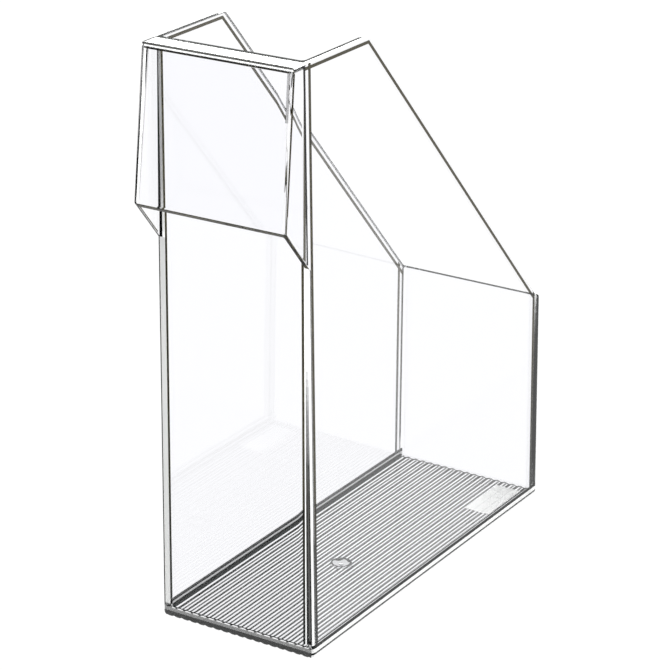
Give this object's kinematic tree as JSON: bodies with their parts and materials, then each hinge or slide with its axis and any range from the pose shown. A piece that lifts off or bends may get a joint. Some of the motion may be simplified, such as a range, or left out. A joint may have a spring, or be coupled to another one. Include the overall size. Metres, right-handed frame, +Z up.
{
  "type": "magazine rack",
  "caption": "Clear plastic magazine rack with sloped open sides, a low rear wall, a ribbed floor and a finger-pull hood across the top of its tall front.",
  "frame": {"origin": "under the middle of the whole rack, on the surface it stands on", "axes": "+Z up, -Y towards the tall hooded front, +X to the right across the width as seen from the front"},
  "size_m": [0.093, 0.2543, 0.31],
  "materials": {
    "clear_plastic": "water-clear polished polystyrene",
    "label_paper": "matt white paper"
  },
  "bodies": {
    "root": {"left_side_panel": "clear_plastic", "right_side_panel": "clear_plastic", "front_wall": "clear_plastic", "rear_low_wall": "clear_plastic", "ribbed_floor": "clear_plastic", "hood_front_plate": "clear_plastic", "hood_top_strip": "clear_plastic", "floor_label": "label_paper"}
  },
  "joints": []
}
